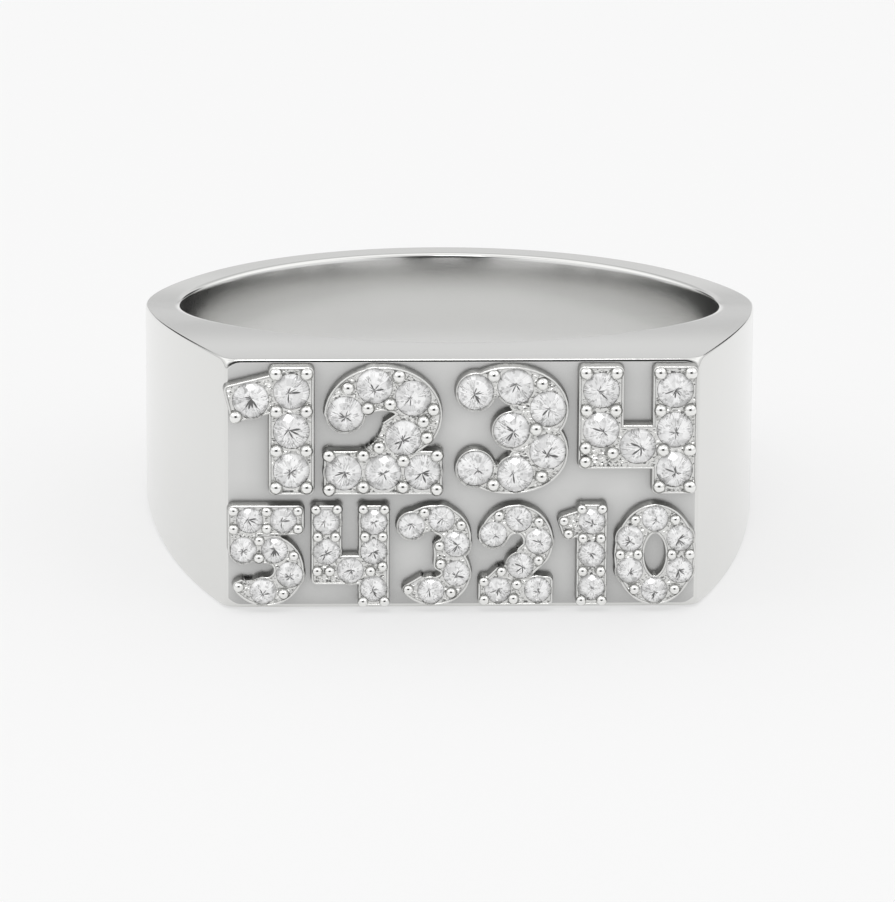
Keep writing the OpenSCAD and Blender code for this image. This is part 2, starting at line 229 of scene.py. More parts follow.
def brilliant_stone():
    # Cubic zirconia, cut and polished as a round brilliant. The light its back facets send out again is
    # painted into its
    # # colour: it looks white, in wedges of slightly different tone, as painted reflections. Painted
    # hairlines mark their
    # # edges, and short dark spokes, painted reflections too, meet near its middle. Lengths are radii of the
    # stone, 0.64 mm
    # # in the upper row and 0.47 mm in the lower
    material, tree, shader = new_material("brilliant_stone", Roughness=0.03, IOR=2.16)
    add = partial(add_node, tree)
    stone = add("ShaderNodeAttribute", {"attribute_name": "stone"}).outputs["Fac"]

    # where a spot lies from the stone's middle, which is up to 0.15 askew
    askew = add("ShaderNodeTexWhiteNoise", {"noise_dimensions": "1D"}, W=stone).outputs["Color"]
    middle = add("ShaderNodeVectorMath", {"operation": "MULTIPLY_ADD"}, _0=askew,
                 _1=(0.3, 0.3, 0), _2=(-1.15, -1.15, 0))
    plan = add("ShaderNodeUVMap", {"uv_map": "plan"})
    spot = add("ShaderNodeVectorMath", {"operation": "MULTIPLY_ADD"}, _0=plan, _1=(2, 2, 0), _2=middle)
    outwards = add("ShaderNodeVectorMath", {"operation": "NORMALIZE"}, _0=spot)
    reach = add("ShaderNodeVectorMath", {"operation": "LENGTH"}, _0=spot).outputs["Value"]
    across = add("ShaderNodeSeparateXYZ", Vector=spot)
    turn = add("ShaderNodeMath", {"operation": "ARCTAN2"}, _0=across.outputs["Y"], _1=across.outputs["X"])
    turn = add("ShaderNodeMath", {"operation": "DIVIDE"}, _0=turn, _1=2 * math.pi)

    def counted(value, to_one):
        """Which part a value is in, when so many equal parts make one."""
        parts = add("ShaderNodeMath", {"operation": "MULTIPLY"}, _0=value, _1=to_one)
        return add("ShaderNodeMath", {"operation": "FLOOR"}, _0=parts)

    def chances(sector, ring):
        """Three random numbers for a place in the stone, which differ from stone to stone."""
        place_of = add("ShaderNodeCombineXYZ", X=sector, Y=ring, Z=stone)
        noise = add("ShaderNodeTexWhiteNoise", {"noise_dimensions": "3D"}, Vector=place_of)
        return add("ShaderNodeSeparateColor", Color=noise.outputs["Color"]).outputs

    # painted reflections of the back's facets: 11 wedges in rings of 0.4, as those facets lie, with smaller
    # grey chips among them
    facet = chances(counted(turn, 11.0), counted(reach, 2.5))
    tone = add("ShaderNodeMapRange", Value=facet["Red"], From_Max=0.75, To_Min=0.72)
    chip = chances(counted(turn, 30.0), counted(reach, 7.0))["Green"]
    chip = add("ShaderNodeMapRange", Value=chip, From_Min=0.88, From_Max=0.90, To_Max=0.34)

    # painted dark hairlines run out from the middle, where a noise drawn on the circle crosses its mean. The
    # stones are
    # # drawn 7.3 apart in it, and it changes a little on the way out
    layer = add("ShaderNodeMath", {"operation": "MULTIPLY"}, _0=reach, _1=0.25)
    layer = add("ShaderNodeMath", {"operation": "MULTIPLY_ADD"}, _0=stone, _1=7.3, _2=layer)
    layer = add("ShaderNodeCombineXYZ", Z=layer)
    along = add("ShaderNodeVectorMath", {"operation": "ADD"}, _0=outwards, _1=layer)
    hair = add("ShaderNodeTexNoise", Vector=along, Scale=6.0, Detail=2.0)
    hair = add("ShaderNodeMath", {"operation": "SUBTRACT"}, _0=hair, _1=0.5)
    hair = add("ShaderNodeMath", {"operation": "ABSOLUTE"}, _0=hair)
    hair = add("ShaderNodeMapRange", Value=hair, From_Max=0.035, To_Min=0.72, To_Max=0.0)
    clearer = add("ShaderNodeMapRange", Value=reach, From_Min=0.1, From_Max=0.5, To_Min=0.2)
    hair = add("ShaderNodeMath", {"operation": "MULTIPLY"}, _0=hair, _1=clearer)
    by_facet = add("ShaderNodeMapRange", Value=facet["Blue"], From_Min=0.2, From_Max=0.7,
                   To_Min=0.2, To_Max=1.15)
    hair = add("ShaderNodeMath", {"operation": "MULTIPLY"}, _0=hair, _1=by_facet)

    # 16 dark spokes round the middle, painted reflections of dark surroundings, each with a turn, a width and
    # a length of
    # # its own, drawn from a ring that no facet or chip is in
    spokes, ring = 16.0, 9.0
    own = chances(counted(turn, spokes), ring)
    aim = add("ShaderNodeMapRange", Value=own["Green"], To_Min=0.3, To_Max=0.7)
    beside = add("ShaderNodeMath", {"operation": "MULTIPLY"}, _0=turn, _1=spokes)
    beside = add("ShaderNodeMath", {"operation": "FRACT"}, _0=beside)
    beside = add("ShaderNodeMath", {"operation": "SUBTRACT"}, _0=beside, _1=aim)
    beside = add("ShaderNodeMath", {"operation": "ABSOLUTE"}, _0=beside)
    # those towards one side, mostly the lower one, are longer, as a painted reflection of the dark room below
    side = add("ShaderNodeVectorMath", {"operation": "MULTIPLY_ADD"}, _0=askew,
               _1=(2, 1.2, 0), _2=(-1.4, -1.3, 0))
    gathered = add("ShaderNodeVectorMath", {"operation": "DOT_PRODUCT"}, _0=outwards, _1=side)
    gathered = add("ShaderNodeMapRange", Value=gathered.outputs["Value"], From_Min=-0.8, From_Max=0.4,
                   To_Min=0.35, To_Max=1.1)
    length = add("ShaderNodeMapRange", Value=own["Red"], From_Min=0.2, To_Min=0.05, To_Max=0.62)
    length = add("ShaderNodeMath", {"operation": "MULTIPLY"}, _0=length, _1=gathered)
    taper = add("ShaderNodeMath", {"operation": "DIVIDE"}, _0=reach, _1=length)
    taper = add("ShaderNodeMath", {"operation": "SUBTRACT"}, _0=1.1, _1=taper)
    width = add("ShaderNodeMapRange", Value=own["Blue"], To_Min=0.45)
    width = add("ShaderNodeMath", {"operation": "MULTIPLY"}, _0=width, _1=taper)
    wedge = add("ShaderNodeMath", {"operation": "SUBTRACT"}, _0=beside, _1=width)
    wedge = add("ShaderNodeMapRange", Value=wedge, From_Min=-0.06, From_Max=0.06, To_Min=1.0, To_Max=0.0)
    within = add("ShaderNodeMath", {"operation": "SUBTRACT"}, _0=reach, _1=length)
    within = add("ShaderNodeMapRange", Value=within, From_Min=-0.06, From_Max=0.03, To_Min=0.98, To_Max=0.0)
    spoke = add("ShaderNodeMath", {"operation": "MULTIPLY"}, _0=wedge, _1=within)

    dark = add("ShaderNodeMath", {"operation": "MAXIMUM"}, _0=hair, _1=chip)
    dark = add("ShaderNodeMath", {"operation": "MAXIMUM"}, _0=spoke, _1=dark)
    light = add("ShaderNodeMath", {"operation": "SUBTRACT"}, _0=1.0, _1=dark)
    light = add("ShaderNodeMath", {"operation": "MULTIPLY"}, _0=tone, _1=light)
    colour = add("ShaderNodeCombineColor", Red=light, Green=light, Blue=light)
    tree.links.new(colour.outputs["Color"], shader.inputs["Base Color"])
    return material


def pale_floor():
    # Acrylic board, cast matt white. Round the ring a glow is painted into it as emission, painted light with
    # no lamp
    # # behind it, so that the shadow on it stays faint. The glow fades further out, where the board is as
    # bright as the
    # # studio behind it, so no edge shows there
    material, tree, shader = new_material(
        "pale_floor", Base_Color=hex_colour("#959595"), Roughness=0.9, Emission_Color=(1, 1, 1, 1))
    place_of = add_node(tree, "ShaderNodeTexCoord")
    away = add_node(tree, "ShaderNodeVectorMath", {"operation": "LENGTH"}, _0=place_of.outputs["Object"])
    painted_glow = add_node(tree, "ShaderNodeMapRange", {"interpolation_type": "SMOOTHSTEP"},
                    Value=away.outputs["Value"], From_Min=0.12, From_Max=0.45, To_Min=0.575, To_Max=0.24)
    tree.links.new(painted_glow.outputs["Result"], shader.inputs["Emission Strength"])
    return material


# Making pieces
def place(name, points, faces, materials, face_material=None, smooth=True):
    """Makes a mesh from points in millimetres, laid down to rest, which rides on the ring."""
    mesh = bpy.data.meshes.new(name)
    mesh.from_pydata([REST @ Vector(p) for p in points], [], faces)
    for material in materials:
        mesh.materials.append(material)
    if face_material is not None:
        mesh.polygons.foreach_set("material_index", np.asarray(face_material, dtype=np.int32))
    mesh.polygons.foreach_set("use_smooth", np.broadcast_to(smooth, len(faces)).astype(bool))
    mesh.validate()
    piece = bpy.data.objects.new(name, mesh)
    bpy.context.scene.collection.objects.link(piece)
    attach(piece, "root")
    return piece


def on_face(x, z, points):
    """Points drawn flat, with their height above the face, moved on to the ring's face."""
    points = np.asarray(points, dtype=float)
    return np.column_stack([x + points[:, 0], -FACE_Y - points[:, 2], z + points[:, 1]])


# The band
def heading(degrees):
    """Unit vector, seen from above, at an angle from +X."""
    return Vector((math.cos(math.radians(degrees)), math.sin(math.radians(degrees))))


def plan_stations():
    """Points of the band's outline from above, each with the point beside it where the top's flat ends."""
    start = BAND_R * heading(-FLANK_ANGLE)
    corner = Vector((FACE_W / 2, -FACE_Y))
    turn = math.degrees(math.atan((start.x - corner.x) / (start.y - corner.y))) - FLANK_ANGLE
    flank_r = (corner - start).length / 2 / math.sin(math.radians(turn))
    flank_centre = (BAND_R - flank_r) * heading(-FLANK_ANGLE)
    end_angle = -FLANK_ANGLE - 2 * turn
    inwards = (heading(end_angle) + heading(-90)) / (1 + heading(end_angle).dot(heading(-90)))
    corner_centre = corner - CORNER_R * inwards
    top_centre = corner - CORNER_TOP_R * inwards
    # the flank ends short of the corner's edge, where the round begins
    short = math.degrees((corner - corner_centre).dot(heading(end_angle + 90)) / flank_r)
    flank_turn = end_angle + abs(short) + FLANK_ANGLE
    stations = []

    def add_arc(centre, radius, angles):
        for angle in angles:
            stations.append((centre + radius * heading(angle), heading(angle)))

    add_arc(Vector((0, 0)), BAND_R, np.linspace(90, -FLANK_ANGLE, BACK_STEPS))
    add_arc(flank_centre, flank_r, flank_turn * FLANK_SHARES - FLANK_ANGLE)
    add_arc(corner_centre, CORNER_R, np.linspace(end_angle, -90, CORNER_STEPS))
    for share in FACE_SHARES:
        stations.append((Vector((corner_centre.x * share, -FACE_Y)), heading(-90)))

    def top_edge(point, facing):
        away = point - top_centre
        if end_angle > math.degrees(math.atan2(away.y, away.x)) > -90:
            return top_centre + (CORNER_TOP_R - EDGE_R) * away.normalized()
        return point - EDGE_R * facing

    right = [(point, top_edge(point, facing)) for point, facing in stations]
    left = [tuple(Vector((-v.x, v.y)) for v in station) for station in reversed(right[1:-1])]
    return right + left


def band_section(point, top_edge):
    """Upper half of the band's section at one station, from the hole's wall over the top to the outside."""
    outward = point.normalized()
    quarter = np.radians(np.linspace(0, 90, EDGE_STEPS))
    mouth_r = BORE_MID_R + BORE_FLARE
    lip = (mouth_r + LIP_WIDE) * outward
    wall_top = float(half_height(lip.y)) - LIP_DEEP
    rows = []
    for share in BORE_SHARES:
        spot = (BORE_MID_R + BORE_FLARE * share ** 3) * outward
        rows.append((spot.x, spot.y, wall_top * share))
    for angle in quarter:
        spot = (mouth_r + LIP_WIDE * (1 - math.cos(angle))) * outward
        rows.append((spot.x, spot.y, wall_top + LIP_DEEP * math.sin(angle)))
    for share in TOP_SHARES:
        spot = lip.lerp(top_edge, share)
        rows.append((spot.x, spot.y, float(half_height(spot.y))))
    drop = EDGE_FALL * (top_edge - point).length
    for angle in quarter[::-1]:
        spot = top_edge.lerp(point, math.cos(angle))
        rows.append((spot.x, spot.y, float(half_height(spot.y)) - drop * (1 - math.sin(angle))))
    outer_top = float(half_height(point.y)) - drop
    for share in OUTSIDE_SHARES:
        rows.append((point.x, point.y, outer_top * share))
    return rows


def make_band(polish, satin, tumbled):
    sections = []
    for point, top_edge in plan_stations():
        upper = band_section(point, top_edge)
        lower = [(x, y, -z) for x, y, z in reversed(upper[1:-1])]
        sections.append(upper + lower)
    count, rows = len(sections), len(sections[0])
    points = [p for section in sections for p in section]
    faces, finish = [], []
    for i in range(count):
        for j in range(rows):
            quad = (i * rows + j, i * rows + (j + 1) % rows,
                    (i + 1) % count * rows + (j + 1) % rows, (i + 1) % count * rows + j)
            faces.append(quad)
            on_the_face = all(points[k][1] < -FACE_Y + NEAR for k in quad)
            in_the_bore = all(math.hypot(*points[k][:2]) < BORE_MID_R + BORE_FLARE + NEAR for k in quad)
            finish.append(1 if on_the_face else 2 if in_the_bore else 0)
    band = place("band", points, faces, [polish, satin, tumbled], finish)
    return band


# The numerals' outlines, drawn as strokes
TIP_CUT = 0.15    # how much of its width a stroke's line is cut back by at its tips
TIP_REACH = 0.8   # how many widths round a tip its square end is drawn in
ARC_STEPS = 28


def arc(cx, cy, rx, ry, first, last):
    angles = np.radians(np.linspace(first, last, ARC_STEPS + 1))
    return [(cx + rx * math.cos(a), cy + ry * math.sin(a)) for a in angles]


def strokes(numeral, w, h, s):
    """Centre lines of a numeral in a cell w by h, with strokes s wide: pairs of a width and its points.

    The shares of the cell and of the stroke are the numerals' own proportions.
    """
    a, b = (w - s) / 2, (h - s) / 2
    shapes = {
        0: [(s, arc(0, 0, a, b, 85, 275)),
            (s, arc(0, 0, a, b, -95, 95))],
        1: [(s, [(a, h / 2), (a, -h / 2)]),
            (0.86 * s, [(a, h / 2 - 0.5 * s), (-w / 2, h / 2 - 0.85 * s)])],
        2: [(s, arc(0, 0.38 * b, a, 0.62 * b, 186, -28) + [(-a, -b)]),
            (s, [(-w / 2, -b), (w / 2, -b)])],
        3: [(s, arc(0, b / 2, a, b / 2, 158, -90)),
            (s, arc(0, -b / 2, a, b / 2, 90, -158))],
        4: [(s, [(-a, h / 2), (-a, -0.6 * b)]),
            (s, [(-w / 2, -0.4 * b), (a, -0.4 * b)]),
            (s, [(a, h / 2), (a, -h / 2)])],
        5: [(s, [(w / 2, b), (-w / 2, b)]),
            (s, [(-a, h / 2), (-a, 0.2 * b - 0.2 * s)]),
            (s, arc(0, -0.4 * b, a, 0.6 * b, 140, -160))],
    }
    return [(width, np.array(points, dtype=float)) for width, points in shapes[numeral]]


def line_distance(spots, a, b):
    run = b - a
    along = np.clip((spots - a) @ run / (run @ run), 0, 1)
    return np.linalg.norm(spots - a - along[:, None] * run, axis=1)


def stroke_depth(spots, width, line):
    """How deep each spot lies in a stroke with square ends. It is negative outside."""
    line = line.copy()
    tips = []
    for tip, next_point in ((0, 1), (-1, -2)):
        inward = line[next_point] - line[tip]
        inward /= np.linalg.norm(inward)
        tips.append((line[tip].copy(), inward))
    for (tip, inward), k in zip(tips, (0, -1)):
        line[k] = tip - TIP_CUT * width * inward
    depth = width / 2 - np.min([line_distance(spots, a, b) for a, b in zip(line, line[1:])], axis=0)
    for tip, inward in tips:
        near = np.linalg.norm(spots - tip, axis=1) < TIP_REACH * width
        along = (spots - tip) @ inward
        in_corner = (depth < STROKE_END_R) & (along < STROKE_END_R)
        eased = STROKE_END_R - np.hypot(STROKE_END_R - depth, STROKE_END_R - along)
        depth = np.where(near, np.where(in_corner, eased, np.minimum(depth, along)), depth)
    return depth


def plate_depth(spots, lines, stones, stone_r):
    """How deep each spot lies inside a numeral: in its strokes, or in the metal round its stones."""
    depths = [stroke_depth(spots, width, line) for width, line in lines]
    depths += [stone_r + RIM_W - np.linalg.norm(spots - stone, axis=1) for stone in stones]
    return np.max(depths, axis=0)


def stone_distance(spots, stones):
    """How far each spot is from the middle of the nearest stone."""
    return np.min([np.linalg.norm(spots - stone, axis=1) for stone in stones], axis=0)


# The plates
# How high the metal stands, by how deep a spot lies inside the plate's outline: foot, wall, round rim, groove
PROFILE_DEPTH = (-0.025, 0.010, 0.020, 0.036, 0.068, 0.082, 0.105)
PROFILE_Z = (-0.04, RELIEF - 0.035, RELIEF - 0.010, RELIEF, RELIEF, RELIEF - 0.012, FLOOR_Z)
WALL_DEPTH = 0.015       # where the wall ends and the rim begins
GROOVE = (0.084, 0.108)  # where the rim falls to the cut metal, a dull line darkened as painted shade
GRID_STEP = 0.035        # between the spots of the mesh
GRID_MARGIN = 0.25       # round the cell
CUT_INSET = 0.14         # from the outline to the first spots of the cut metal
CUT_CLEAR = 0.055        # from a stone's edge to them
CUT_SHIFT = 0.3          # how far chance moves them, in steps
ROUGH_INSET = 0.11       # from the outline to where the metal is rough
ROUGH_CLEAR = 0.04       # from a stone's edge to there
ROUGH_Z = (-0.030, 0.014)  # how far chance moves its spots down and up
SEAT_ANGLE = 7.5         # degrees between the spots round a seat
SEAT_GAP = 0.006         # between a stone and its seat
SEAT_TAPER = 0.010       # how far the seat's wall leans in under the stone
SEAT_WALL = 0.03         # how far it goes down below the girdle
SEAT_CONE = 0.5          # depth of the cone under it, in radii of the stone
SEAT_EDGE = 0.014        # how far from a stone's edge the seat reaches
CUT_SEED = 11


def contour(field, xs, ys, level):
    """Spots where a field on a grid crosses a level, and the pairs of them that join."""
    above = field > level
    spots, pairs, seen = [], [], {}

    def crossing(first, second):
        key = (min(first, second), max(first, second))
        if key not in seen:
            (i, j), (k, m) = key
            share = (level - field[i, j]) / (field[k, m] - field[i, j])
            seen[key] = len(spots)
            spots.append((xs[j] + share * (xs[m] - xs[j]), ys[i] + share * (ys[k] - ys[i])))
        return seen[key]

    count = above[:-1, :-1].astype(int) + above[1:, :-1] + above[:-1, 1:] + above[1:, 1:]
    for i, j in zip(*np.nonzero((count > 0) & (count < 4))):
        corners = [(i, j), (i, j + 1), (i + 1, j + 1), (i + 1, j)]
        cuts = [crossing(a, b) for a, b in zip(corners, corners[1:] + corners[:1]) if above[a] != above[b]]
        pairs += [(cuts[k], cuts[k + 1]) for k in range(0, len(cuts), 2)]
    return spots, pairs


def plate_mesh(cell, row, rng):
    """Spots and triangles of one numeral's plate, and which are dull, with a darker colour that paints shade:
    those of its walls and its groove.
    """
    numeral, w, stones = cell
    stones = np.array(stones, dtype=float)
    stone_r = row["stone_d"] / 2
    lines = strokes(numeral, w, row["height"], row["stroke"])
    xs = np.arange(-w / 2 - GRID_MARGIN, w / 2 + GRID_MARGIN, GRID_STEP)
    ys = np.arange(-row["height"] / 2 - GRID_MARGIN, row["height"] / 2 + GRID_MARGIN, GRID_STEP)
    grid = np.stack(np.meshgrid(xs, ys), axis=-1).reshape(-1, 2)
    depth = plate_depth(grid, lines, stones, stone_r)
    field = depth.reshape(len(ys), len(xs))
    spots, edges = [], []
    for level in PROFILE_DEPTH:
        # a hair off the level, so that no grid spot lies on it
        found, pairs = contour(field, xs, ys, level + 1e-5)
        edges += [(a + len(spots), b + len(spots)) for a, b in pairs]
        spots += found
    around = np.radians(np.arange(0, 360, SEAT_ANGLE))
    for radius in (stone_r + SEAT_GAP, stone_r - SEAT_TAPER):
        for stone in stones:
            first = len(spots)
            spots += [(stone[0] + radius * math.cos(a), stone[1] + radius * math.sin(a)) for a in around]
            edges += [(first + k, first + (k + 1) % len(around)) for k in range(len(around))]
    spots += [tuple(stone) for stone in stones]
    cut = grid[(depth > CUT_INSET) & (stone_distance(grid, stones) > stone_r + CUT_CLEAR)][::2]
    cut = cut + rng.uniform(-CUT_SHIFT * GRID_STEP, CUT_SHIFT * GRID_STEP, cut.shape)
    spots += [tuple(p) for p in cut]
    flat, _, faces, _, _, _ = geometry.delaunay_2d_cdt([Vector(p) for p in spots], edges, [], 0, 1e-5)
    flat = np.array([tuple(p) for p in flat])
    depth = plate_depth(flat, lines, stones, stone_r)
    off = stone_distance(flat, stones)
    height = np.interp(depth, PROFILE_DEPTH, PROFILE_Z)
    seat = FLOOR_Z + np.interp(off, (0, stone_r - SEAT_TAPER, stone_r + SEAT_GAP),
                               (-SEAT_CONE * stone_r, -GIRDLE_SINK - SEAT_WALL, 0))
    rough = (depth > ROUGH_INSET) & (off > stone_r + ROUGH_CLEAR)
    height = np.where(off < stone_r + SEAT_EDGE, np.minimum(height, seat), height)
    height = height + np.where(rough, rng.uniform(*ROUGH_Z, len(flat)), 0)
    centre_depth = plate_depth(flat[np.array(faces)].mean(axis=1), lines, stones, stone_r)
    inside = centre_depth > PROFILE_DEPTH[0]
    kept = [face for face, is_inside in zip(faces, inside) if is_inside]
    dull_shaded = [int(d < WALL_DEPTH or GROOVE[0] < d < GROOVE[1]) for d in centre_depth[inside]]
    return np.column_stack([flat, height]), kept, dull_shaded


def cell_centres(row):
    """Where each cell's centre lies along the face, with equal gaps between the cells."""
    widths = [width for _, width, _ in row["cells"]]
    gap = (FACE_W - 2 * SIDE_MARGIN - sum(widths)) / (len(widths) - 1)
    left = -FACE_W / 2 + SIDE_MARGIN
    return [left + sum(widths[:i]) + width / 2 + i * gap for i, width in enumerate(widths)]


def make_plates(row, cut, dull_shaded):
    rng = np.random.default_rng(CUT_SEED)
    points, faces, finish = [], [], []
    for cell, x in zip(row["cells"], cell_centres(row)):
        flat, triangles, finishes = plate_mesh(cell, row, rng)
        faces += [tuple(k + len(points) for k in triangle) for triangle in triangles]
        points += list(on_face(x, row["centre_z"], flat))
        finish += finishes
    # walls and grooves are smooth, and the cut metal is in facets
    plates = place("numeral_plates_" + row["name"], points, faces, [cut, dull_shaded], finish, smooth=finish)
    return plates


# The holding beads
# Distances in a bead's own radii. Those from a stone go from its edge to the bead's middle
BEAD_CLEAR = 0.60     # every bead from every stone
BEAD_APART = 1.95     # between the middles of two beads
CORNER_CLEAR = 0.62   # a corner's bead from the stones, if it finds room
CORNER_INSET = 0.7    # a corner's bead at least, from both sides of the corner
CORNER_OVER = 0.35    # how far a corner's bead may stand over the plate's edge for it
HOLLOW_CLEAR = 0.75   # a bead between two stones from both of them
LONE_CLEAR = 0.80     # a bead beside one stone from it
# The rest in millimetres, apart from the span
BEAD_MARGIN = 0.02    # from the plate's edge to a bead
BEAD_OVER = 0.01      # how far any other bead may stand over the edge
HOLLOW_SPAN = 3.1     # how far apart, in a stone's radii, two stones' middles may be to share a bead
HOLLOW_REACH = 0.2    # how far out from them it may move to the last place with room
HOLLOW_STEP = 0.02    # between the places tried there
CORNER_STEP = 0.01    # between the places tried in a corner
LONE_ANGLE = 30       # degrees between the places tried round a stone
# The bead's mesh: points round it, how high up the dome each row of them lies, and the dull rows at its foot,
# darker as painted shade
BEAD_STEPS = 20
BEAD_RISES = np.radians((-20, 0, 15, 28, 40, 52, 64, 77))
BEAD_DULL_SHADED_ROWS = 3


def bead_spots(cell, row):
    """Where beads hold the stones: in the hollows between neighbours and in the corners of stroke ends."""
    numeral, w, stones = cell
    stones = np.array(stones, dtype=float)
    stone_r, bead, h = row["stone_d"] / 2, row["bead_r"], row["height"]
    lines = strokes(numeral, w, h, row["stroke"])
    wanted = []
    insets = np.arange(bead + BEAD_MARGIN, CORNER_INSET * bead, -CORNER_STEP)[:, None]
    for width, line in lines:
        for tip, after in ((line[0], line[1]), (line[-1], line[-2])):
            along = (after - tip) / np.linalg.norm(after - tip)
            across = np.array([-along[1], along[0]])
            for side in (-1, 1):
                spots = tip + insets * along + side * (width / 2 - insets) * across
                free = np.nonzero(stone_distance(spots, stones) > stone_r + CORNER_CLEAR * bead)[0]
                wanted.append((spots[free[0] if len(free) else 0], CORNER_OVER * bead))
    for i, first in enumerate(stones):
        for second in stones[i + 1:]:
            span = np.linalg.norm(second - first)
            if span < HOLLOW_SPAN * stone_r:
                along = (second - first) / span
                nearest = math.sqrt(max(0, (stone_r + HOLLOW_CLEAR * bead) ** 2 - span ** 2 / 4))
                for side in (-1, 1):
                    outs = np.arange(nearest, nearest + HOLLOW_REACH, HOLLOW_STEP)[:, None]
                    spots = (first + second) / 2 + side * outs * np.array([-along[1], along[0]])
                    room = np.nonzero(plate_depth(spots, lines, stones, stone_r) > bead + BEAD_MARGIN)[0]
                    wanted.append((spots[room[-1] if len(room) else 0], BEAD_OVER))
    for stone in stones:
        for a in np.radians(np.arange(0, 360, LONE_ANGLE)):
            out = np.array([math.cos(a), math.sin(a)])
            wanted.append((stone + (stone_r + LONE_CLEAR * bead) * out, BEAD_OVER))
    kept = []
    for spot, over in wanted:
        inside = plate_depth(spot[None], lines, stones, stone_r)[0] > bead - over
        in_cell = (abs(spot[0]) < w / 2 - bead + over + BEAD_OVER
                   and abs(spot[1]) < h / 2 - bead + over + BEAD_OVER)
        off_beads = all(np.linalg.norm(spot - other) > BEAD_APART * bead for other in kept)
        off_stones = stone_distance(spot[None], stones)[0] > stone_r + BEAD_CLEAR * bead
        if inside and in_cell and off_beads and off_stones:
            kept.append(spot)
    return kept


def make_beads(row, burnish, dull_shaded):
    """Domed grains of metal, dull at the foot where the punch has left a ring, and darker there as painted
    shade.
    """
    bead = row["bead_r"]
    points, faces, finish = [], [], []
    for cell, x in zip(row["cells"], cell_centres(row)):
        for spot in bead_spots(cell, row):
            first = len(points)
            grain = [(spot[0] + bead * math.cos(e) * math.cos(a), spot[1] + bead * math.cos(e) * math.sin(a),
                      FLOOR_Z + bead * math.sin(e))
                     for e in BEAD_RISES for a in np.linspace(0, 2 * math.pi, BEAD_STEPS, False)]
            grain.append((spot[0], spot[1], FLOOR_Z + bead))
            points += list(on_face(x, row["centre_z"], grain))
            for k in range(len(BEAD_RISES) - 1):
                low, high = first + k * BEAD_STEPS, first + (k + 1) * BEAD_STEPS
                for m in range(BEAD_STEPS):
                    n = (m + 1) % BEAD_STEPS
                    faces.append((low + m, low + n, high + n, high + m))
            top = first + (len(BEAD_RISES) - 1) * BEAD_STEPS
            faces += [(top + m, top + (m + 1) % BEAD_STEPS, top + BEAD_STEPS) for m in range(BEAD_STEPS)]
            faces.append(tuple(first + m for m in reversed(range(BEAD_STEPS))))
            finish += [1] * (BEAD_DULL_SHADED_ROWS * BEAD_STEPS)
            finish += [0] * ((len(BEAD_RISES) - BEAD_DULL_SHADED_ROWS) * BEAD_STEPS + 1)
    beads = place("holding_beads_" + row["name"], points, faces, [burnish, dull_shaded], finish)
    return beads


# The stones
STONE_LEAN = 0.07   # slope that a stone may be set with
STONE_SEED = 5


def brilliant(d):
    """A round brilliant: table, stars, kites and halves, thin girdle, and the pavilion's mains and halves."""
    # the usual shares of the diameter
    r = d / 2
    table_r, crown, pavilion, girdle = 0.56 * r, 0.15 * d, 0.43 * d, 0.02 * d
    mid_r, low_r = 0.78 * r, 0.24 * r
    half = math.radians(22.5)
    mid_z = crown * (r - mid_r * math.cos(half)) / (r - table_r)
    low_z = -pavilion * (1 - low_r * math.cos(half) / r)

    def ring(radius, z, count, first=0.0):
        angles = [2 * math.pi * k / count + first for k in range(count)]
        return [(radius * math.cos(a), radius * math.sin(a), z) for a in angles]

    points = (ring(table_r, crown + girdle / 2, 8) + ring(mid_r, mid_z + girdle / 2, 8, half)
              + ring(r, girdle / 2, 16) + ring(r, -girdle / 2, 16)
              + ring(low_r, low_z - girdle / 2, 8, half) + [(0, 0, -pavilion - girdle / 2)])
    # where each ring of points starts in the list
    table, mid, upper, under, low, culet = 0, 8, 16, 32, 48, 56
    faces = [tuple(range(8))]
    for k in range(8):
        n, g, g1, g2 = (k + 1) % 8, 2 * k, 2 * k + 1, (2 * k + 2) % 16
        faces += [(table + k, mid + k, table + n),
                  (table + k, mid + (k - 1) % 8, upper + g, mid + k),
                  (mid + k, upper + g, upper + g1),
                  (mid + k, upper + g1, upper + g2),
                  (low + k, under + g1, under + g),
                  (low + k, under + g2, under + g1),
                  (culet, low + k, under + g, low + (k - 1) % 8)]
    faces += [(upper + k, under + k, under + (k + 1) % 16, upper + (k + 1) % 16) for k in range(16)]
    return np.array(points), faces


def make_stones(row, material):
    rng = np.random.default_rng(STONE_SEED)
    shape, facets = brilliant(row["stone_d"])
    points, faces = [], []
    for cell, x in zip(row["cells"], cell_centres(row)):
        for stone in cell[2]:
            turn = rng.uniform(0, math.pi / 4)
            lean = rng.uniform(-STONE_LEAN, STONE_LEAN, 2)
            c, s = math.cos(turn), math.sin(turn)
            set_in = shape @ np.array([[c, s, 0], [-s, c, 0], [0, 0, 1]])
            set_in[:, 2] += set_in[:, :2] @ lean
            set_in += (stone[0], stone[1], FLOOR_Z - GIRDLE_SINK)
            faces += [tuple(len(points) + k for k in facet) for facet in facets]
            points += list(on_face(x, row["centre_z"], set_in))
    stones = place("brilliants_" + row["name"], points, faces, [material], smooth=False)
    # each stone's own plan and number, which its pattern is drawn from
    mesh = stones.data
    plan = np.concatenate([shape[list(facet), :2] / row["stone_d"] + 0.5 for facet in facets])
    count = len(faces) // len(facets)
    number = np.repeat(np.arange(count) + 0.5, len(facets))
    mesh.uv_layers.new(name="plan").data.foreach_set("uv", np.tile(plan, (count, 1)).ravel())
    mesh.attributes.new("stone", "FLOAT", "FACE").data.foreach_set("value", number)
    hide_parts("stones_" + row["name"])
    return stones


# The camera
FOCAL_PX = 6044            # focal length in pixels, from a fit to the photograph's outlines
CAMERA_FAR = 225.0         # mm from the ring's centre
CAMERA_RISE, CAMERA_TURN, CAMERA_ROLL = map(math.radians, (13.53, -2.12, 0.33))
IMAGE_W, IMAGE_H = 895, 902
RING_AT = (448.9, 397.6)   # pixel of the ring's centre in the photograph
SENSOR_W = 36              # mm
CLIP = (0.01, 10)          # m


